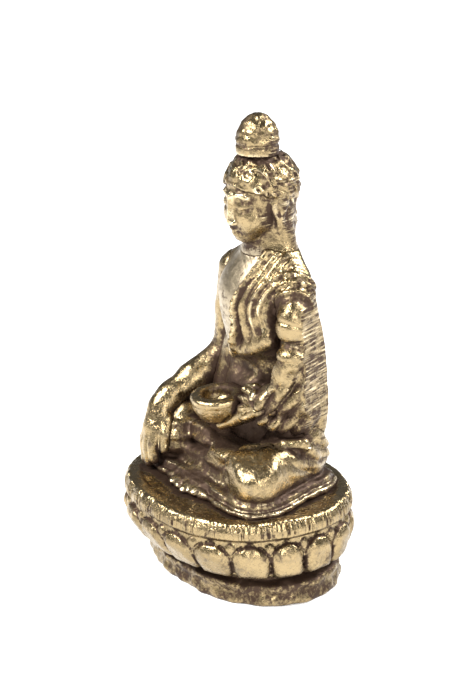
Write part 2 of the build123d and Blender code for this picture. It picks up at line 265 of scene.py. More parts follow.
def surface_nets(f, low, step):
    """The closed surface where f is 0, as points and four-sided faces."""
    inside = f < 0
    n = np.array(f.shape) - 1
    total = np.zeros(n, np.int8)
    for dx in (0, 1):
        for dy in (0, 1):
            for dz in (0, 1):
                total += inside[dx:n[0] + dx, dy:n[1] + dy, dz:n[2] + dz]
    cells = np.argwhere((total > 0) & (total < 8))
    index = np.full(n, -1, np.int32)
    index[tuple(cells.T)] = np.arange(len(cells))
    reach, count = np.zeros((len(cells), 3)), np.zeros(len(cells))
    for axis in range(3):
        one, two = [a for a in range(3) if a != axis]
        for u in (0, 1):
            for v in (0, 1):
                start = np.zeros(3, int)
                start[one], start[two] = u, v
                end = start.copy()
                end[axis] = 1
                a, b = f[tuple((cells + start).T)], f[tuple((cells + end).T)]
                hit = (a < 0) != (b < 0)
                place = np.tile(start.astype(float), (hit.sum(), 1))
                place[:, axis] = a[hit] / (a[hit] - b[hit])
                reach[hit] += place
                count[hit] += 1
    points = (cells + reach / count[:, None]) * step + low
    faces = []
    for axis in range(3):
        one, two = (axis + 1) % 3, (axis + 2) % 3
        near = [slice(None)] * 3
        far = [slice(None)] * 3
        near[axis], far[axis] = slice(0, -1), slice(1, None)
        a, b = inside[tuple(near)], inside[tuple(far)]
        for first, flip in ((a & ~b, False), (~a & b, True)):
            e = np.argwhere(first)
            e = e[(e[:, one] > 0) & (e[:, two] > 0) & (e[:, one] < n[one]) & (e[:, two] < n[two])]
            corners = []
            for du, dv in ((1, 1), (0, 1), (0, 0), (1, 0)):
                c = e.copy()
                c[:, one] -= du
                c[:, two] -= dv
                corners.append(index[tuple(c.T)])
            quad = np.stack(corners, 1)
            faces.append(quad[:, ::-1] if flip else quad)
    return points, np.concatenate(faces)


def lattice(ix, iy, iz, seed):
    """A repeatable number from 0 to 1 for each lattice corner."""
    h = (ix * 374761393 + iy * 668265263 + iz * 2147483647 + seed * 1274126177) & 0xFFFFFFFF
    h = ((h ^ (h >> 13)) * 1274126177) & 0xFFFFFFFF
    return ((h ^ (h >> 16)) & 0xFFFF) / 65535.0


def noise(p, size, seed):
    """Smooth noise from -1 to 1 with bumps of that size."""
    q = p / size
    i = np.floor(q).astype(np.int64)
    f = q - i
    f = f * f * (3 - 2 * f)
    out = 0
    for dx in (0, 1):
        for dy in (0, 1):
            for dz in (0, 1):
                weight = corner_share(f, dx, dy, dz)
                out = out + weight * lattice(i[:, 0] + dx, i[:, 1] + dy, i[:, 2] + dz, seed)
    return 2 * out - 1


# ---------------------------------------------------------------- the figure
head_low, head_high = node_box("head")
head_at = ((head_low[0] + head_high[0]) / 2, (head_low[1] + head_high[1]) / 2 - 0.2, head_high[2] - 5.45)
head_turn = tilt(11)
head_size = 0.93
bulge = from_high("left_arm", -2.49, -5.55, -5.3)
left_elbow = from_high("left_arm", -2.99, -2.85, -15.8)
left_wrist = from_high("left_hand", -2.41, -1.28, -1.46)
legs_low, legs_high = node_box("crossed_legs")
knee_in = 4.4  # from the sides and front of the legs to the middle of a knee
knee_place = np.array([legs_high[0] - knee_in, legs_low[1] + knee_in, seat + 4.0])

TORSO = np.array([  # height, half width, half depth, middle in y
    (17.5, 7.2, 5.4, 4.9), (20.0, 6.9, 5.1, 4.8), (23.5, 6.3, 4.5, 4.7), (27.5, 5.7, 4.1, 4.5),
    (31.0, 5.9, 4.3, 3.9), (35.0, 6.2, 4.5, 3.2), (37.5, 6.3, 4.4, 3.1), (39.5, 5.8, 3.9, 3.5),
    (41.2, 4.5, 3.4, 4.2), (42.8, 3.2, 3.0, 4.8), (44.5, 1.4, 1.4, 5.0)])
ROBE_EDGE = np.array([  # height, and where the robe's edge crosses the chest in x
    (28.0, 0.4), (31.2, 0.8), (33.4, 1.2), (36.0, 1.0), (37.8, 1.6), (39.3, 2.1), (42.5, 2.4)])


def smooth_steps(z, heights, values):
    """A smooth curve through values at heights."""
    i = np.clip(np.searchsorted(heights, z) - 1, 0, len(heights) - 2)
    slopes = np.gradient(values, heights)
    run = heights[i + 1] - heights[i]
    t = np.clip((z - heights[i]) / run, 0, 1)
    return ((1 + 2 * t) * (1 - t) ** 2 * values[i] + t * (1 - t) ** 2 * run * slopes[i]
            + t * t * (3 - 2 * t) * values[i + 1] + t * t * (t - 1) * run * slopes[i + 1])


def trunk():
    """The body from lap to neck, an oval at every height."""
    def distance(x, y, z):
        w, d, c = (smooth_steps(z, TORSO[:, 0], TORSO[:, i]) for i in (1, 2, 3))
        near = np.sqrt((x / w) ** 2 + ((y - c) / d) ** 2) + 1e-6
        rise = np.sqrt((x / w ** 2) ** 2 + ((y - c) / d ** 2) ** 2) + 1e-6
        side = near * (near - 1) / rise * 0.92
        return np.maximum(side, np.maximum(z - TORSO[-1, 0], TORSO[0, 0] - z))

    return Shape((-8, -3, TORSO[0, 0]), (8, 11, TORSO[-1, 0]), distance)


def robe_edge_gap(x, z):
    """How far a point of the chest lies to the robe's side of its edge."""
    return x - smooth_steps(z, ROBE_EDGE[:, 0], ROBE_EDGE[:, 1])


def ring_folds(near, reaches, widths):
    """Three raised rings round a point, each a little lower than the one inside it."""
    return sum(h * bell(near - r, w) for h, r, w in zip((1.0, 0.9, 0.8), reaches, widths))


def robe_folds(x, y, z):
    """The robe's thickness and folds over the chest, shoulder and back."""
    gap = robe_edge_gap(x, z)
    back = ramp(y, 4.0, 6.0)
    on_front = ramp(gap, -0.12, 0.12) * (1 - back) * ramp(z, 29.0, 30.2)
    on_back = back * ramp(x + 0.28 * (z - 30), -3.5, -2.5)
    cloth = np.maximum(on_front, on_back) * ramp(z, 44.0, 42.6)
    drift = gap + 0.2 * np.sin(0.8 * z + 0.5) + 0.04 * np.sin(2.3 * z)
    rolls = bell(gap - 0.5, 0.42) * 0.5 - bell(gap - 1.1, 0.18) * 0.3
    fan = drift - 1.15 + 0.055 * np.maximum(z - 35.0, 0) * gap
    rolls = rolls + 0.30 * (np.abs(np.sin(2.3 * fan + 0.35 * np.sin(0.55 * z))) - 0.45) * ramp(gap, 0.9, 1.3)
    rolls = rolls * on_front * ramp(z, 29.6 + 0.35 * gap, 32.2 + 0.5 * gap) * ramp(z, 44.0, 42.6)
    rolls = rolls + 0.08 * np.sin(6.0 * z + 2.0 * gap) * bell(gap - 0.5, 0.5) * on_front
    near = distance_from(bulge, x, y, z)
    arcs = ring_folds(near, (3.9, 5.0, 6.1), (0.36, 0.34, 0.32))
    arcs = 0.38 * (arcs - 0.35) * ramp(near, 7.2, 6.6) * ramp(z, 32.5, 35.0) * ramp(x, 2.2, 3.6)
    sweep = np.sin(2.3 * (0.62 * z + 0.78 * x + 0.1 * y)) * 0.16 * on_back
    return cloth * 0.30 + rolls + arcs + sweep


def torso_casting(block):
    block.begin("torso")
    block.add(trunk(), 0.3)
    for side in (-1, 1):
        block.add(limb((side * 2.2, 5.2, 42.6), (side * 6.6, 4.5, 38.9), 1.5, 2.0), 1.6)
    block.add(egg((0, 1.2, 23.8), (3.6, 1.3, 3.4)), 1.4)
    block.add(limb((-5.2, 3.6, 29.0), (-6.2, 2.6, 20.5), 2.0, 2.6), 0.8)
    block.carve(egg((0.8, -2.3, 27.5), (5.2, 3.7, 2.1)), 0.6)
    block.add(strand([(5.4, 1.2, 32.3), (3.4, 0.3, 30.9), (1.4, -0.1, 29.9)], [0.8, 0.8, 0.7]), 0.9)
    block.add(strand([(1.8, -0.8, 34.0), (1.0, -0.9, 31.4), (0.3, -0.6, 29.2)], [0.4, 0.7, 0.5]), 0.5)
    block.add(strand([(0.7, -0.8, 32.6), (-0.2, -0.7, 30.6), (-0.6, -0.3, 28.9)], [0.3, 0.5, 0.4]), 0.35)
    block.emboss((-8, -4, 18), (9, 12, 44), robe_folds)


def head_casting(block):
    """Neck, face, ears and hair. The face is a calm one of plain proportions."""
    def put(shape, k):
        block.add(turned(shape, head_at, head_turn, head_size), k)

    def take(shape, k):
        block.carve(turned(shape, head_at, head_turn, head_size), k)

    block.begin("head")
    put(egg((0, 0.9, 1.2), (4.45, 4.9, 4.3)), 0.3)
    put(egg((0, -1.3, -1.8), (3.75, 3.15, 4.1)), 1.0)
    put(egg((0, -2.9, -4.6), (1.8, 1.45, 1.3)), 1.3)
    for side in (-1, 1):
        put(egg((side * 1.9, -2.8, -2.4), (1.6, 1.2, 1.7)), 1.1)
        put(strand([(side * 0.6, -4.05, 1.05), (side * 1.6, -3.95, 1.45), (side * 2.8, -3.2, 1.0)],
                   [0.22, 0.26, 0.18]), 0.5)
        take(egg((side * 1.75, -4.75, 0.3), (1.2, 0.62, 0.5)), 0.6)
        put(egg((side * 1.75, -3.2, -0.25), (1.35, 0.95, 0.72), tilt(side * 14, "Z")), 0.35)
        take(strand([(side * 0.7, -4.3, -0.5), (side * 1.7, -4.35, -0.95), (side * 2.9, -3.65, -0.6)],
                    [0.16, 0.3, 0.16]), 0.12)
        put(egg((side * 0.6, -4.55, -2.55), (0.45, 0.45, 0.36)), 0.25)
    put(strand([(0, -4.1, 1.0), (0, -4.45, -1.0), (0, -4.8, -2.3)], [0.42, 0.44, 0.54]), 0.6)
    put(egg((0, -4.1, -3.75), (1.25, 0.6, 0.4)), 0.45)
    put(egg((0, -4.05, -4.25), (0.95, 0.6, 0.38)), 0.3)
    take(strand([(-1.25, -4.3, -3.85), (0, -4.95, -3.97), (1.25, -4.3, -3.85)], [0.1, 0.1, 0.1]), 0.25)
    hair(block)
    for side in (-1, 1):
        put(egg((side * 4.35, 0.5, -0.9), (0.6, 1.15, 1.7), tilt(side * -12, "Z")), 0.25)
        put(strand([(side * 4.3, 0.4, -2.0), (side * 4.0, 0.5, -3.6), (side * 3.7, 0.8, -4.7)],
                   [0.6, 0.6, 0.65]), 0.5)
        take(strand([(side * 4.95, 0.1, 0.0), (side * 5.0, -0.2, -1.0), (side * 4.75, 0.1, -2.4)],
                    [0.16, 0.3, 0.18]), 0.2)
    block.add(limb((0, 4.6, 47.0), (0, 4.8, 42.0), 3.2, 3.5), 0.7)
    for side in (-1, 1):
        block.add(limb((side * 2.2, 4.9, 47.0), (side * 3.4, 5.2, 41.5), 1.3, 1.7), 0.9)


HAIR_EDGE = np.array([  # height over the head's middle, and where the hair begins in y
    (-7.0, 2.4), (-4.0, 1.9), (-1.0, 0.7), (0.6, -0.4), (1.6, -2.0), (2.3, -3.8), (3.0, -7.0)])


def hair(block):
    """A close cap of hair with rippled locks, thicker than the skin it grows on."""
    def distance(x, y, z):
        cap = egg((0, 0.95, 1.3), (4.95, 5.3, 4.7)).distance(x, y, z)
        nape = limb((0, 2.9, -1.0), (0, 3.1, -4.6), 2.9, 2.2).distance(x, y, z)
        cap = blend_min(cap, nape, 1.5)
        along = np.sqrt((y + 1.5) ** 2 + 1) * 1.5 + 0.75 * z + 0.35 * np.abs(x)
        across = np.arctan2(x, z + 6.0) * 9.0
        wander = np.sin(1.7 * x + 0.9 * y) + np.sin(1.3 * z - 1.1 * y) + 0.8 * np.sin(3.1 * y + 2.3 * z)
        locks = 0.12 * np.sin(3.4 * along + 1.5 * wander + 0.9 * np.sin(across * 1.7))
        locks = locks + 0.10 * np.sin(2.7 * across + 1.9 * wander)
        line = z - 0.5 * bell(x, 2.2) + 0.25
        edge = (np.interp(line, HAIR_EDGE[:, 0], HAIR_EDGE[:, 1]) + 0.12 * np.sin(4 * x) - y) * 0.75
        return -blend_min(-(cap - locks), -edge, 0.6)

    cap_shape = Shape((-5.4, -5.4, -7.0), (5.4, 7.0, 6.4), distance)
    block.add(turned(cap_shape, head_at, head_turn, head_size), 0.12)


def topknot_casting(block):
    y = (node_box("topknot")[0][1] + node_box("topknot")[1][1]) / 2 - 0.15
    low = crown - 4.9
    block.begin("topknot")
    block.add(egg((0, y, low + 1.0), (2.8, 2.8, 3.85)), 0.3)
    block.add(egg((0, y, low + 3.4), (1.45, 1.45, 1.4)), 0.5)
    block.carve(egg((0, y, low - 3.0), (6.0, 6.0, 3.1)), 0.1)

    def ripples(x, y_, z):
        turn = np.arctan2(x, y_ - y)
        rows = 0.05 * np.sin(6.0 * z + 1.4 * np.sin(4 * turn)) + 0.04 * np.sin(11 * turn + 2.6 * z)
        groove = -0.22 * bell(z - low - 1.1, 0.2)
        return rows * ramp(z, low + 1.2, low + 1.7) + groove

    block.emboss((-3.2, y - 3.2, low - 0.5), (3.2, y + 3.2, crown + 0.2), ripples)


def right_arm_casting(block):
    """The bare arm, with the hand hanging over the knee and its fingers together."""
    block.begin("right_arm")
    shoulder, elbow = from_high("right_arm", -1.8, -3.1, -2.7), from_high("right_arm", -3.9, -3.2, -14.5)
    wrist, knuckles = from_low("right_arm", 1.58, 4.25, 7.8), from_low("right_arm", 1.88, 2.85, 5.4)
    block.add(limb(shoulder, (-7.8, 4.3, 33.0), 2.6, 2.35), 0.3)
    block.add(limb((-7.8, 4.3, 33.0), elbow, 2.35, 2.15), 0.6)
    block.add(limb(elbow, (-9.5, -0.8, 23.2), 2.2, 2.05), 1.0)
    block.add(limb((-9.5, -0.8, 23.2), (-9.75, -4.2, 21.3), 2.05, 1.75), 1.0)
    block.add(limb((-9.75, -4.2, 21.3), wrist, 1.75, 1.65), 1.0)
    block.add(limb(wrist, knuckles, 1.6, 1.4), 1.0)
    block.add(egg((-9.4, -6.5, 17.3), (2.3, 1.55, 3.0), tilt(-12)), 0.9)
    tips = [(-10.9, -7.7, 14.0), (-9.9, -8.1, 13.0), (-8.9, -8.2, 12.9), (-7.95, -7.9, 13.6)]
    roots = [(-10.8, -7.0, 17.4), (-10.0, -7.5, 17.4), (-9.1, -7.6, 17.4), (-8.2, -7.3, 17.4)]
    for root, tip in zip(roots, tips):
        middle = tuple(0.5 * (r + t) + s for r, t, s in zip(root, tip, (0, -0.3, 0)))
        block.add(strand([root, middle, tip], [0.76, 0.74, 0.62]), 0.32)
    block.add(strand([(-8.0, -5.8, 18.8), (-7.1, -6.6, 17.0), (-6.9, -7.0, 15.2)], [0.9, 0.85, 0.65]), 0.3)


STRIP_FACING = np.array([0.90, 0.436, 0.0])


def sleeve_folds(x, y, z):
    """Folds round the bulge of the upper sleeve, and slanting folds down to the cuff."""
    run = (np.array(left_wrist) - np.array(left_elbow))
    run = run / np.linalg.norm(run)
    along = (x - left_elbow[0]) * run[0] + (y - left_elbow[1]) * run[1] + (z - left_elbow[2]) * run[2]
    lower = ramp(along, -0.4, 1.2) * ramp(z, 28.0, 26.0)
    phase = 0.80 * along + 0.60 * (z - 24) + 0.22 * np.sin(1.3 * along + 0.7 * y)
    slanted = (np.abs(np.sin(2.0 * phase)) - 0.6) * 0.46 * lower
    near = distance_from(bulge, x, y, z)
    arcs = ring_folds(near, (3.7, 4.75, 5.8), (0.34, 0.32, 0.3))
    arcs = 0.34 * (arcs - 0.4) * ramp(z, 34.5, 36.5) * ramp(y, 6.0, 4.8)
    crease = -0.24 * bell(z - 32.9 - 0.10 * (x - 9), 0.22) * ramp(y, 5.5, 4.5)
    around = np.sqrt((y - 1.2) ** 2 + (z - 28.9) ** 2)
    loops = 0.26 * (np.abs(np.sin(1.75 * around)) - 0.55) * ramp(z, 32.6, 31.6) * ramp(z, 26.0, 27.5)
    dimple = -0.16 * bell(z - 35.2 + 0.35 * (y - 2), 0.22) * ramp(np.abs(y - 1.6), 2.0, 0.8)
    return slanted + arcs + crease + dimple + loops * ramp(y, 6.0, 4.5)


def left_arm_casting(block):
    """The sleeved arm, bent across the body."""
    block.begin("left_arm")
    block.add(limb((6.7, 4.1, 37.9), (8.2, 4.3, 33.0), 2.6, 2.6), 0.3)
    block.add(limb((8.3, 4.4, 33.0), left_elbow, 2.65, 2.7), 0.5)
    block.add(strand([(6.6, 5.0, 37.2), (7.8, 5.9, 31.5), (8.2, 6.5, 25.0), (7.3, 7.1, 20.5)],
                     [1.8, 1.9, 1.9, 1.6]), 0.8)
    block.add(egg(bulge - (0.75, -0.5, 0.4), (2.1, 2.1, 3.0), tilt(-6)), 1.0)
    block.add(egg((9.2, 2.2, 30.8), (1.9, 1.9, 1.9)), 0.4)
    block.add(limb((8.8, 1.6, 29.4), (8.2, 1.4, 26.6), 1.5, 1.6), 0.5)
    block.add(limb(left_elbow, left_wrist, 2.6, 1.8), 0.6)
    block.add(limb((8.6, 4.6, 25.0), (8.2, 4.2, 21.5), 2.5, 1.8), 0.8)
    block.add(strand([(8.8, 3.2, 22.3), (7.6, 1.0, 22.0), (6.4, -0.6, 22.6)], [1.4, 1.2, 0.9]), 0.7)
    block.emboss((4, -4, 19), (13, 9, 43), sleeve_folds)

    def filed_to(z):
        """How far out the filing left the metal, with the unevenness of its strokes."""
        return (11.0 + 0.05 * (32.0 - z) + 0.08 * np.sin(0.9 * z)
                - 0.03 * np.sin(9.0 * z + 1.4 * np.sin(1.7 * z)))

    block.flatten((4.0, 3.0, 20.0), (13.0, 10.0, 42.0), filed_to, STRIP_FACING, 0.12)
    block.carve(limb((5.6, -1.4, 24.4), (4.8, -2.2, 24.2), 1.1, 1.2), 0.1)


def left_hand_casting(block):
    """The left hand, with its fingers round the near side of the bowl."""
    block.begin("left_hand")
    hinge = left_wrist + (0.9, 0.6, -0.6)
    block.add(limb(hinge, (4.6, -1.0, 23.9), 1.3, 1.1), 0.3)
    block.add(limb((4.6, -1.4, 22.8), (1.2, -3.0, 20.6), 1.3, 0.9), 0.5)
    for tip in ((3.9, -1.3, 25.7), (3.8, -1.9, 24.6), (4.3, -2.2, 23.5), (5.1, -2.2, 22.5)):
        bend = 0.5 * (hinge + tip) + (0.75, -0.55, 0.35)
        block.add(strand([hinge, bend, tip], [0.75, 0.66, 0.5]), 0.08)
    block.add(strand([(6.4, 0.5, 25.2), (4.8, -0.3, 26.1), (3.6, -0.7, 25.9)], [0.7, 0.58, 0.45]), 0.2)


def bowl_casting(block):
    """A thick bowl leaning a little to the front, with a rounded lip."""
    block.begin("alms_bowl")
    centre = (bowl_x, bowl_y, bowl_rim - 2.0)

    def distance(x, y, z):
        out = np.sqrt(x ** 2 + y ** 2)
        ball = np.sqrt(out ** 2 + (1.08 * (z - 0.9)) ** 2) - 3.4
        inner = np.sqrt(out ** 2 + (z - 1.9) ** 2) - 2.1
        shell = -blend_min(-ball, inner, 0.25)
        shell = -blend_min(-shell, -(z - 1.75), 0.35)
        lip = np.sqrt((out - 2.7) ** 2 + (1.3 * (z - 1.35)) ** 2) - 0.8
        shell = blend_min(shell, lip, 0.35)
        return -blend_min(-shell, -(-2.1 - z), 0.2)

    block.add(turned(Shape((-3.4, -3.4, -2.2), (3.4, 3.4, 2.0), distance), centre, tilt(7)), 0.1)


# The way each worn flat of the left knee faces, and its reach from the origin.
KNEE_FACETS = (((0.22, -0.40, 0.89), 20.5), ((-0.25, -0.96, 0.10), 5.6))


def legs_casting(block):
    """The crossed legs, the feet, the robe over them and its hem on the seat."""
    block.begin("crossed_legs")
    for side in (-1, 1):
        knee = knee_place * (side, 1, 1)
        hip = (side * 5.5, 6.0, seat + 3.9)
        block.add(limb(hip, knee, 3.7, 3.35), 0.8)
        block.add(limb(knee, knee + (-side * 1.8, -0.6, 0.1), 3.4, 3.0), 0.7)
        block.add(limb((side * 8.6, -5.0, seat + 1.6), (side * 8.6, -4.7, seat + 5.0), 1.7, 1.9), 0.4)
    block.add(egg((6.3, 4.9, seat + 6.4), (3.5, 4.0, 3.7)), 1.0)
    block.add(egg((-8.4, -2.4, seat + 6.4), (2.4, 2.8, 2.4)), 0.6)
    block.add(egg((-6.0, 5.2, seat + 5.4), (3.6, 4.6, 3.4)), 1.0)
    block.add(limb((-7.4, 3.6, seat + 7.2), (-7.8, -0.8, seat + 6.0), 2.6, 2.0), 0.8)
    block.add(egg((0, 3.0, seat + 2.6), (8.0, 7.4, 4.0)), 1.0)
    block.add(egg((0, 5.6, seat + 4.4), (6.9, 5.3, 4.6)), 0.8)
    block.add(limb((-7.6, -3.2, seat + 2.2), (7.4, -3.0, seat + 2.2), 1.9, 2.0), 0.5)
    block.add(limb((7.2, -2.0, seat + 4.6), (-5.6, -2.2, seat + 4.5), 1.5, 1.2), 0.3)
    for k in range(5):
        start = (10.2 - 0.3 * k, 3.4 - 0.35 * k, seat + 7.3 - 0.5 * k)
        end = (6.2 - 0.2 * k, -2.6 + 0.3 * k, seat + 6.4 - 0.55 * k)
        block.add(limb(start, end, 0.85, 0.7), 0.35)
    for facing, reach in KNEE_FACETS:
        block.flatten((4.0, -9.0, seat), (14.0, 0.5, seat + 9.0), lambda z: reach, facing, 1.0)
    feet(block)
    hem(block)

    def gathers(x, y, z):
        behind = ramp(y, 0.0, 4.0)
        turn = np.arctan2(y - 3.0, np.abs(x) + 1e-3)
        fine = 0.17 * np.sin(15 * turn + 0.9 * (z - seat)) * behind * ramp(z, seat + 1.7, seat + 2.6)
        slope_line = 1.0 * (z - seat) + 0.55 * y + 0.35 * np.sin(0.9 * x + 0.7 * z)
        cloth = 0.4 * (np.abs(np.sin(1.6 * slope_line)) - 0.6) * ramp(x, 2.0, 4.0) * ramp(y, -1.0, 1.5)
        fine = fine + cloth * ramp(z, seat + 2.5, seat + 4.0)
        shins = 0.13 * np.sin(3.6 * (z - seat) + 0.45 * np.abs(x)) * (1 - behind) * ramp(np.abs(x), 8.0, 6.5)
        return fine + shins

    block.emboss((-15, -10, seat + 1.5), (15, 12, 19), gathers)
    above_seat = (seat - block.axes[2])[None, None, :]
    block.now[:] = np.maximum(block.now, above_seat)


def feet(block):
    """The soles and toes of the feet, turned up on the thighs."""
    z = seat + 6.1
    right_sole = [(-1.2, -3.3, z - 0.6), (-4.2, -3.0, z - 0.4), (-6.2, -2.9, z - 0.8)]
    block.add(strand(right_sole, [1.3, 1.25, 1.0]), 0.7)
    for k in range(5):
        place = (-6.0 - 0.28 * k, -3.9 + 0.5 * k, z - 0.5 - 0.1 * k)
        block.add(egg(place, (0.62, 0.4, 0.45)), 0.12)
    left_sole = [(1.0, -4.0, z - 2.0), (3.4, -3.7, z - 1.4), (5.6, -3.0, z - 0.9)]
    block.add(strand(left_sole, [1.3, 1.35, 1.1]), 0.8)


def hem(block):
    """Two layers of hem lying on the seat, and the pleated end of the robe in front."""
    knee_x, knee_y, knee_round = 9.4, -3.2, 4.35
    hip_x, hip_y, hip_round = 5.2, 5.6, 5.3
    run_x, run_y = hip_x - knee_x, hip_y - knee_y
    apart = run_x ** 2 + run_y ** 2

    def lip(reach, low, high, k):
        def distance(x, y, z):
            ax = np.abs(x)
            front = np.sqrt(np.maximum(ax - knee_x, 0) ** 2 + (y - knee_y) ** 2) - (knee_round + reach)
            rear = np.sqrt(np.maximum(ax - hip_x, 0) ** 2 + (y - hip_y) ** 2) - (hip_round + reach)
            t = np.clip(((ax - knee_x) * run_x + (y - knee_y) * run_y) / apart, 0, 1)
            flank = np.sqrt((ax - knee_x - run_x * t) ** 2 + (y - knee_y - run_y * t) ** 2)
            flank = flank - (knee_round + (hip_round - knee_round) * t + reach)
            joined = np.minimum(np.minimum(front, rear), flank)
            joined = joined + 0.10 * np.sin(0.9 * x + 1.1 * y) + 0.06 * np.sin(2.3 * x - 1.9 * y)
            return -blend_min(-joined, -np.maximum(z - high, low - z), k)
        return Shape((-15, -10, low), (15, 12, high), distance)

    block.add(lip(-0.7, seat, seat + 1.5, 0.7), 0.6)
    block.add(lip(0.0, seat - 0.3, seat + 0.66, 0.35), 0.25)
    for k in range(6):
        fan = math.radians(-38 + 15 * k)
        start = (-0.4 + 2.6 * math.sin(fan), -2.6 - 2.6 * math.cos(fan), seat + 0.9)
        end = (-0.4 + 6.2 * math.sin(fan), -2.6 - (5.5 + 0.3 * (k % 2)) * math.cos(fan), seat + 0.05)
        block.add(limb(start, end, 0.75, 0.7), 0.8)


def figure_block():
    """Every casting of the figure, each in its own layer."""
    block = Block((-14.6, -11.0, seat - MARGIN), (14.6, 12.6, crown + MARGIN), STEP)
    legs_casting(block)
    torso_casting(block)
    head_casting(block)
    topknot_casting(block)
    right_arm_casting(block)
    left_arm_casting(block)
    left_hand_casting(block)
    bowl_casting(block)
    return block


BLENDS = {"crossed_legs": 0.1, "torso": 0.5, "head": 0.6, "topknot": 0.3, "right_arm": 0.35,
          "left_arm": 0.3, "left_hand": 0.15, "alms_bowl": 0.1}


# ---------------------------------------------------------------- the pedestal
FOOT_BACK = (plate_low[1] + plate_high[1]) / 2
FOOT_HALF = np.array([14.75, 10.35])
SQUARE = 2.28
PETALS = 18
GROOVE_Z, PETAL_Z, BAND_Z = 3.1, 3.9, 9.9
PETAL_WIDE, PETAL_TALL, PETAL_HALF = 5.1, 5.2, 2.58
PETAL_SHOULDER = 2.3  # the height at which a petal starts to close in
NOTCHES = 148
PLATE_GAP, LEDGE, SEAT_THICK = 0.05, 0.7, 1.7


def outline(x, y, half, square=SQUARE):
    """How far a point stands out past an oval, along the ray from its middle."""
    out = np.sqrt(x * x + y * y) + 1e-6
    near = (np.abs(x / half[0]) ** square + np.abs(y / half[1]) ** square) ** (1 / square) + 1e-6
    return out * (1 - 1 / near)


def petal_relief(x, y, z):
    """One row of round-topped petals, with the tips of a second row behind them."""
    q = np.arctan2(y / 13.0, x / 15.3) * PETALS / (2 * math.pi)

    def petal(u, v):
        """How far a point lies inside a petal's edge."""
        closing = np.maximum(v - PETAL_SHOULDER, 0) / (PETAL_TALL - PETAL_SHOULDER)
        arch = np.sqrt(np.clip(1 - closing ** 2, 0, 1))
        half = PETAL_HALF * arch - 0.12 * np.maximum(PETAL_SHOULDER - v, 0) ** 2
        return np.minimum(np.minimum(half - np.abs(u), v + 0.05), (PETAL_TALL - v) * 0.8)

    u = (q - np.floor(q) - 0.5) * PETAL_WIDE
    m = petal(u, z - PETAL_Z)
    body = 1.05 * (1 - (1 - np.clip(m / 1.5, 0, 1)) ** 2.4)
    line = -0.28 * bell(m + 0.16, 0.15)
    line = line * ramp(z, PETAL_Z, PETAL_Z + 0.5) * ramp(z, BAND_Z + 0.2, BAND_Z - 0.2)
    between = (q - np.floor(q + 0.5)) * PETAL_WIDE
    tip_half = 1.55 * np.sqrt(np.clip(1 - np.abs(z - PETAL_Z - 3.3) / 2.2, 0, 1))
    tip = np.minimum(tip_half - np.abs(between), 2.0)
    behind = 0.42 * (1 - (1 - np.clip(tip / 0.8, 0, 1)) ** 2) * ramp(z, PETAL_Z + 2.4, PETAL_Z + 3.4)
    slit = -0.3 * bell(between, 0.16)
    slit = slit * ramp(z, PETAL_Z + 0.6, PETAL_Z + 1.0) * ramp(z, PETAL_Z + 3.1, PETAL_Z + 2.7)
    return np.maximum(body, behind) + line + slit + 0.12 * bell(m - 0.2, 0.2)


def pedestal_block():
    """The pedestal: foot, groove, petals, notched band and dished seat, and the hollow under it."""
    block = Block((-17.2, -14.8, -MARGIN), (17.2, 14.8, seat + MARGIN), PEDESTAL_STEP)
    block.begin("lotus_pedestal")
    x, y, z = block.points(tuple(slice(None) for _ in range(3)))
    share = ramp(z, 0.5, 9.0)
    middle = FOOT_BACK * (1 - share)
    half = [FOOT_HALF[i] + (rim_half[i] - FOOT_HALF[i] - 0.3) * share for i in (0, 1)]
    side = outline(x, y - middle, half)
    turn = np.arctan2(y, x)
    foot = 0.30 * bell(z - 0.6, 0.6) - 0.12 * bell(z - 1.6 - 0.2 * np.sin(5 * turn), 0.4)
    foot = foot + 0.12 * np.sin(7 * turn + 1.2) + 0.09 * np.sin(17 * turn + 2.1 * z)
    foot = (foot + 0.07 * np.sin(29 * turn - 1.7 * z)) * ramp(z, 3.3, 2.9)
    groove = -1.25 * bell(z - GROOVE_Z - 0.35, 0.5)
    wall = -0.62 * ramp(z, GROOVE_Z, GROOVE_Z + 0.8) * ramp(z, BAND_Z + 0.35, BAND_Z - 0.35)
    relief = petal_relief(x, y - middle, z) * ramp(z, PETAL_Z - 0.5, PETAL_Z - 0.1)
    relief = relief * ramp(z, BAND_Z + 0.5, BAND_Z - 0.1)
    strokes = np.sin(NOTCHES * turn + 2.2 * np.sin(9 * turn) + 1.5 * np.sin(23 * turn))
    depth = 0.55 + 0.45 * np.sin(31 * turn + 0.7 * np.sin(5 * turn))
    notches = -0.36 * np.clip(strokes, 0, 1) * np.clip(depth, 0.2, 1)
    notches = notches * ramp(z, BAND_Z - 0.1, BAND_Z + 0.5)
    bevel = -0.55 * np.maximum(z - (seat - 1.1), 0) / 1.1
    d = side - foot - groove - wall - relief - notches - bevel
    edge = outline(x, y, rim_half)
    dish = 0.2 * ramp(edge, -2.3, -3.0) + 0.06 * np.sin(9 * turn) * ramp(edge, -3.4, -2.0)
    d = -blend_min(-d, -(z - (seat - dish)), 0.35)
    d = -blend_min(-d, z, 0.25)
    rebate = [(plate_high[i] - plate_low[i]) / 2 + PLATE_GAP for i in (0, 1)]
    hollow = [r - LEDGE for r in rebate]
    room = np.maximum(outline(x, y - FOOT_BACK, rebate, 2.0), z - plate_high[2])
    inside = np.maximum(outline(x, y - FOOT_BACK, hollow, 2.0), z - (seat - SEAT_THICK))
    d = np.maximum(d, -np.minimum(room, inside))
    block.now[:] = np.clip(d, -FAR, FAR)
    return block


# ---------------------------------------------------------------- meshes
def grain(p, kind):
    """Fine unevenness of the cast surface, in millimetres."""
    return kind * (0.045 * noise(p, 0.7, 1) + 0.028 * noise(p, 0.42, 2) + 0.080 * noise(p, 1.6, 3))
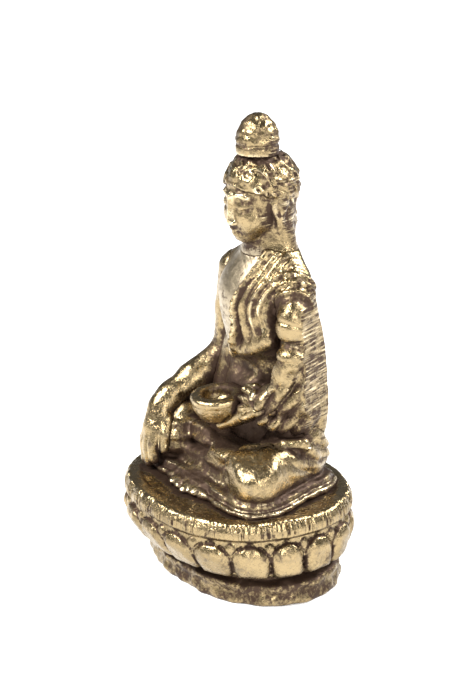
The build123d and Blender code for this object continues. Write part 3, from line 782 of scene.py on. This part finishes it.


# The hollow measure darkens the metal both as patina and as painted shade in recesses; the widest reach
# paints shade into the lap and between the arms and the body.
# How far out of the surface, or into it, each look goes, and its weight.
HOLLOW_REACHES = ((0.25, 0.35), (0.6, 0.35), (1.2, 0.4), (2.4, 0.32))
EDGE_REACHES = ((0.3, 0.5), (0.7, 0.5))


def shade(fields, p, n):
    """For each point, how deep it sits in a hollow and how much it stands out as an edge, from 0 to 1."""
    def nearest(q):
        return np.min([sample(field, low, step, q) for field, low, step in fields], 0)

    hollow = 0
    for reach, weight in HOLLOW_REACHES:
        hollow = hollow + weight * np.clip(1 - nearest(p + n * reach) / reach, 0, 1.4)
    edge = 0
    for reach, weight in EDGE_REACHES:
        edge = edge + weight * np.clip(0.85 + nearest(p - n * reach) / reach, 0, 1)
    return np.clip(hollow, 0, 1.2), np.clip(edge * 1.15, 0, 1)


def file_strip(p, n):
    """Where the casting's parting line was filed flat: down the outer back of the left side."""
    facing = n @ STRIP_FACING
    return ramp(facing, 0.80, 0.93) * ramp(p[:, 2], 20.0, 21.5) * ramp(p[:, 0], 1.0, 3.0)


POLISH_AND_HIGHLIGHTS = [  # middle, reach and strength of the places kept bright by hands' polish and by painted highlights
    ((-9.8, -6.5, 18.0), 3.2, 0.5), ((-9.4, -2.5, 23.0), 3.0, 0.3),
    ((bowl_x + 1.2, bowl_y - 1.8, 22.8), 3.2, 1.0), ((9.0, -5.5, seat + 5.0), 3.0, 0.45),
    ((-9.5, -4.5, seat + 5.5), 2.5, 0.3), ((9.2, 2.0, 35.5), 2.0, 0.3), ((0.5, -2.0, 48.5), 4.2, 0.2)]
GRIME_AND_SHADE = [  # and of the places darkened by grime and by painted shade: recesses, under the chin, one side of the topknot
    ((-2.0, -4.5, seat + 3.0), 5.0, 0.35), ((1.0, -2.0, 27.0), 3.5, 0.4), ((-5.5, 0.0, 24.0), 3.5, 0.35),
    ((3.5, 0.5, seat + 7.5), 3.0, 0.35), ((8.0, 3.0, 24.0), 3.2, 0.15), ((-0.5, 1.5, 57.0), 3.5, 0.18),
    ((2.0, -2.0, 42.5), 2.5, 0.2)]


def wear_and_painted_light(p):
    """How much darker a point is, from grime and painted shade, or if below zero, how much lighter, from
    polish and painted light.
    """
    # Darker towards the bottom of the foot, with tone that differs at random.
    out = 0.30 * ramp(p[:, 2], 3.5, 2.6) * (0.7 + 0.6 * noise(p, 3.0, 5)) + 0.10 * noise(p, 5.0, 6)
    # The seat's outer border is painted lighter, as the light on its rim.
    border = outline(p[:, 0], p[:, 1], rim_half)
    on_seat = ramp(p[:, 2], seat - 0.6, seat - 0.3) * ramp(p[:, 2], seat + 0.3, seat + 0.1)
    out = out - 0.45 * ramp(border, -4.8, -2.4) * on_seat
    for places, sign in ((POLISH_AND_HIGHLIGHTS, -1), (GRIME_AND_SHADE, 1)):
        for middle, reach, strength in places:
            out = out + sign * strength * bell(np.linalg.norm(p - np.array(middle), axis=1), reach)
    return out


def lit_bare_chest(p, n):
    """Where the smooth bare chest and neck show on the front, given a paler grey as painted light."""
    gap = robe_edge_gap(p[:, 0], p[:, 2])
    front = ramp(n[:, 1], 0.35, -0.1) * ramp(p[:, 1], 4.0, 2.0)
    tall = ramp(p[:, 2], 29.5, 31.0) * ramp(p[:, 2], 43.8, 42.8)
    return ramp(gap, 0.2, -0.3) * front * tall * ramp(p[:, 0], -6.6, -5.4)


def mesh_piece(name, part, whole, block, around):
    """A mesh object of one casting, with its hollows, edges and filed places kept as attributes."""
    points, faces = surface_nets(part, block.low, block.step)
    for _ in range(2):
        n = slope(part, block.low, block.step, points)
        gap = np.clip(sample(part, block.low, block.step, points), -0.3, 0.3) * block.step
        points = points - n * gap[:, None]
    n = slope(whole, block.low, block.step, points)
    hollow, edge = shade(around, points, n)
    filed = file_strip(points, n)
    outside = sample(whole, block.low, block.step, points) > -0.12
    pale = lit_bare_chest(points, n)
    # The hollow attribute also takes the listed grime, painted shade, polish and painted light.
    hollow = np.clip(hollow + wear_and_painted_light(points), -0.6, 1.3)
    kind = outside * (0.75 + 0.9 * np.clip(hollow, 0, 1)) * (1 - 0.7 * filed) * (1 - 0.6 * pale)
    kind = kind * ramp(points[:, 2], 0.1, 0.6) * ramp(points[:, 2], crown - 0.1, crown - 0.6)
    points = points + n * grain(points, kind)[:, None]
    mesh = bpy.data.meshes.new(name)
    mesh.from_pydata((points * MM).tolist(), [], faces.tolist())
    mesh.polygons.foreach_set("use_smooth", np.ones(len(faces), bool))
    for label, values in (("hollow", hollow), ("edge", edge), ("filed", filed), ("pale", pale)):
        layer = mesh.attributes.new(label, "FLOAT", "POINT")
        layer.data.foreach_set("value", values.astype(np.float32))
    piece = bpy.data.objects.new(name, mesh)
    bpy.context.scene.collection.objects.link(piece)
    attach(piece, "root")
    return piece


def cut_apart(block, blends):
    """The castings of a block: together they are one smooth whole, parted where two are equally near."""
    whole = block.merged(blends)
    for name, layer in block.layers.items():
        others = np.full(block.size, FAR, np.float32)
        for other, d in block.layers.items():
            if other != name:
                others = np.minimum(others, d)
        yield name, np.maximum(whole, (layer - others) / 2), whole


# ---------------------------------------------------------------- materials
# Sizes of the patterns in the metal, in metres.
BROAD, BLOTCH, FINE, SPECK, STROKE = 0.0045, 0.0016, 0.0007, 0.00035, 0.0011
BUMP_DEPTH = 0.00011


def brass(name, bright, mid, dark, roughness, patina_and_shade):
    """Worn brass: bright on edges, brown in hollows from oxide and painted shade, with cast grain and file
    strokes.
    """
    mat = bpy.data.materials.new(name)
    mat.use_nodes = True
    nodes, links = mat.node_tree.nodes, mat.node_tree.links
    shader = nodes["Principled BSDF"]
    shader.inputs["Metallic"].default_value = 1.0
    place = nodes.new("ShaderNodeTexCoord").outputs["Object"]

    def attribute(label):
        node = nodes.new("ShaderNodeAttribute")
        node.attribute_name = label
        return node.outputs["Fac"]

    def grainy(size, detail, rough=0.6, stretch=None):
        node = nodes.new("ShaderNodeTexNoise")
        node.inputs["Scale"].default_value = 1 / size
        node.inputs["Detail"].default_value = detail
        node.inputs["Roughness"].default_value = rough
        source = place
        if stretch:
            turn = nodes.new("ShaderNodeMapping")
            turn.inputs["Scale"].default_value = stretch
            links.new(place, turn.inputs["Vector"])
            source = turn.outputs["Vector"]
        links.new(source, node.inputs["Vector"])
        return node.outputs["Fac"]

    def maths(kind, a, b, clamp=False):
        node = nodes.new("ShaderNodeMath")
        node.operation = kind
        node.use_clamp = clamp
        for socket, value in zip(node.inputs, (a, b)):
            if isinstance(value, (int, float)):
                socket.default_value = value
            else:
                links.new(value, socket)
        return node.outputs[0]

    def scale_to(value, low, high):
        node = nodes.new("ShaderNodeMapRange")
        node.interpolation_type = "SMOOTHSTEP"
        links.new(value, node.inputs["Value"])
        node.inputs["From Min"].default_value = low
        node.inputs["From Max"].default_value = high
        return node.outputs["Result"]

    def mix(share, a, b):
        node = nodes.new("ShaderNodeMix")
        node.data_type = "RGBA"
        links.new(share, node.inputs["Factor"])
        for socket, value in ((node.inputs[6], a), (node.inputs[7], b)):
            if isinstance(value, tuple):
                socket.default_value = (*value, 1)
            else:
                links.new(value, socket)
        return node.outputs[2]

    def centred(value, weight):
        return maths("MULTIPLY", maths("SUBTRACT", value, 0.5), weight)

    def total(*values):
        out = values[0]
        for value in values[1:]:
            out = maths("ADD", out, value)
        return out

    hollow, edge, filed, pale = (attribute(label) for label in ("hollow", "edge", "filed", "pale"))
    broad, blotch = grainy(BROAD, 3.0), grainy(BLOTCH, 4.0, 0.65)
    fine, speck = grainy(FINE, 4.0, 0.7), grainy(SPECK, 3.0, 0.75)
    strokes = grainy(STROKE, 3.0, 0.65, (0.3, 0.3, 4.0))
    uneven = total(centred(broad, 1.1), centred(blotch, 1.7), centred(fine, 1.5), centred(speck, 0.8))
    scored = maths("MULTIPLY", maths("ADD", centred(strokes, 4.2), 0.12), filed)
    # How dark each point goes: the hollow attribute carries patina and painted shade, the rest is mottling,
    # wear and file strokes.
    deep = total(maths("MULTIPLY", hollow, 1.5), uneven, maths("MULTIPLY", edge, -0.55),
                 maths("MULTIPLY", filed, 0.08), scored)
    dirt_and_shade = scale_to(deep, 0.16 - patina_and_shade, 0.72 - patina_and_shade)
    veil_and_shade = scale_to(deep, -0.25 - patina_and_shade, 0.35 - patina_and_shade)
    shine = scale_to(total(maths("MULTIPLY", edge, 1.4), centred(blotch, 1.2), centred(fine, 1.1),
                           centred(speck, 0.7), maths("MULTIPLY", scored, -0.8)), 0.05, 0.7)
    clean = mix(shine, mid, bright)
    clean = mix(maths("MULTIPLY", veil_and_shade, 0.55), clean, tuple(0.55 * m for m in mid))
    # The lit front of the bare chest is painted a paler grey.
    clean = mix(maths("MULTIPLY", pale, 0.4), clean, LIT_CHEST_GREY)
    colour = mix(dirt_and_shade, clean, dark)
    pits = scale_to(speck, 0.64, 0.76)
    pits = maths("MULTIPLY", pits, maths("SUBTRACT", 0.6, maths("MULTIPLY", pale, 0.45)))
    colour = mix(pits, colour, tuple(0.7 * d for d in dark))
    links.new(colour, shader.inputs["Base Color"])
    links.new(maths("SUBTRACT", 1.0, maths("MULTIPLY", dirt_and_shade, 0.3)), shader.inputs["Metallic"])
    rough = total(maths("MULTIPLY", dirt_and_shade, 0.25), centred(fine, 0.35), maths("MULTIPLY", shine, -0.08),
                  maths("MULTIPLY", veil_and_shade, 0.06), maths("MULTIPLY", pale, 0.12),
                  maths("MULTIPLY", filed, 0.08))
    links.new(maths("ADD", rough, roughness, True), shader.inputs["Roughness"])

    height = total(maths("MULTIPLY", speck, 0.7), maths("MULTIPLY", fine, 1.1),
                   maths("MULTIPLY", blotch, 0.8), maths("MULTIPLY", maths("MULTIPLY", strokes, filed), 2.4))
    bump = nodes.new("ShaderNodeBump")
    bump.inputs["Strength"].default_value = 0.5
    bump.inputs["Distance"].default_value = BUMP_DEPTH
    links.new(height, bump.inputs["Height"])
    links.new(bump.outputs["Normal"], shader.inputs["Normal"])
    return mat


# The paler grey painted on the lit front of the bare chest.
LIT_CHEST_GREY = (0.56, 0.49, 0.38)
GOLD, BRONZE, UMBER = (0.93, 0.77, 0.49), (0.34, 0.255, 0.135), (0.058, 0.033, 0.020)


SHEET_COLOURS = (0.7, 0.52, 0.26), (0.45, 0.31, 0.14), (0.09, 0.055, 0.03)
ROD_COLOURS = (0.85, 0.66, 0.34), (0.7, 0.52, 0.25), (0.2, 0.13, 0.06)
AS_IN_CAD = (("base_plate", "sheet"), ("tang_wedges", "rod"), ("waist_pin", "rod"),
             ("shoulder_dowels", "rod"))


def build():
    """The sculpted castings, and better materials on the pieces that keep their CAD shape."""
    cast = brass("aged_cast_brass_and_painted_shade", GOLD, BRONZE, UMBER, 0.235, 0.06)
    figure, base = figure_block(), pedestal_block()
    # Hollows are measured against the figure and the pedestal together, so painted shade also falls where the
    # hem meets the seat.
    around = [(figure.merged(BLENDS), figure.low, figure.step), (base.merged({}), base.low, base.step)]
    for block, blends in ((figure, BLENDS), (base, {})):
        for name, part, whole in cut_apart(block, blends):
            piece = mesh_piece(name + "_casting", part, whole, block, around)
            piece.data.materials.append(cast)
            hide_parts(name)
    metals = {"sheet": brass("sheet_brass", *SHEET_COLOURS, 0.42, 0.05),
              "rod": brass("fixing_brass", *ROD_COLOURS, 0.32, -0.2)}
    for node, metal in AS_IN_CAD:
        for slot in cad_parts[node].material_slots:
            slot.material = metals[metal]


# ---------------------------------------------------------------- the stage
AZIMUTH, ELEVATION, DISTANCE = math.radians(58.0), math.radians(18.8), 0.250
AIM = Vector((-0.00105, 0.0, 0.0293))
SENSOR = 36.0
LENS = SENSOR * 39 / 14
WORLD_LIGHT, FLOOR_GLOW, FLOOR_SIDE = 0.17, 0.28, 6.0
LAMPS = (("key", (-0.10, -0.45, 0.50), 0.2, 7.6), ("fill", (0.60, -0.10, 0.30), 0.26, 2.7),
         ("rim", (0.10, 0.45, 0.45), 0.2, 5.2))  # name, place in metres, width and watts


def stage():
    """A pale floor, soft light and the camera."""
    bpy.ops.mesh.primitive_plane_add(size=FLOOR_SIDE, location=(0, 0, 0))
    floor = bpy.context.object
    floor.name = "floor"
    paper = bpy.data.materials.new("pale_floor")
    paper.use_nodes = True
    shader = paper.node_tree.nodes["Principled BSDF"]
    shader.inputs["Base Color"].default_value = (0.9, 0.9, 0.9, 1)
    shader.inputs["Roughness"].default_value = 0.9
    shader.inputs["Emission Color"].default_value = (1.0, 1.0, 1.0, 1)
    shader.inputs["Emission Strength"].default_value = FLOOR_GLOW
    floor.data.materials.append(paper)

    world = bpy.data.worlds.new("studio")
    world.use_nodes = True
    world.node_tree.nodes["Background"].inputs["Color"].default_value = (1.0, 1.0, 1.0, 1)
    world.node_tree.nodes["Background"].inputs["Strength"].default_value = WORLD_LIGHT
    bpy.context.scene.world = world

    for name, place, size, power in LAMPS:
        data = bpy.data.lights.new(name, "AREA")
        data.shape = "DISK"
        data.size = size
        data.energy = power
        light = bpy.data.objects.new(name, data)
        light.location = place
        light.rotation_euler = (Vector(place) - AIM).to_track_quat("Z", "Y").to_euler()
        bpy.context.scene.collection.objects.link(light)

    back = Vector((math.sin(AZIMUTH) * math.cos(ELEVATION), -math.cos(AZIMUTH) * math.cos(ELEVATION),
                   math.sin(ELEVATION)))
    data = bpy.data.cameras.new("camera")
    data.sensor_width = SENSOR
    data.lens = LENS
    data.clip_start, data.clip_end = 0.01, 20.0
    camera = bpy.data.objects.new("camera", data)
    camera.location = AIM + back * DISTANCE
    camera.rotation_euler = back.to_track_quat("Z", "Y").to_euler()
    bpy.context.scene.collection.objects.link(camera)
    bpy.context.scene.camera = camera
    bpy.context.scene.view_settings.view_transform = "Standard"


build()
stage()
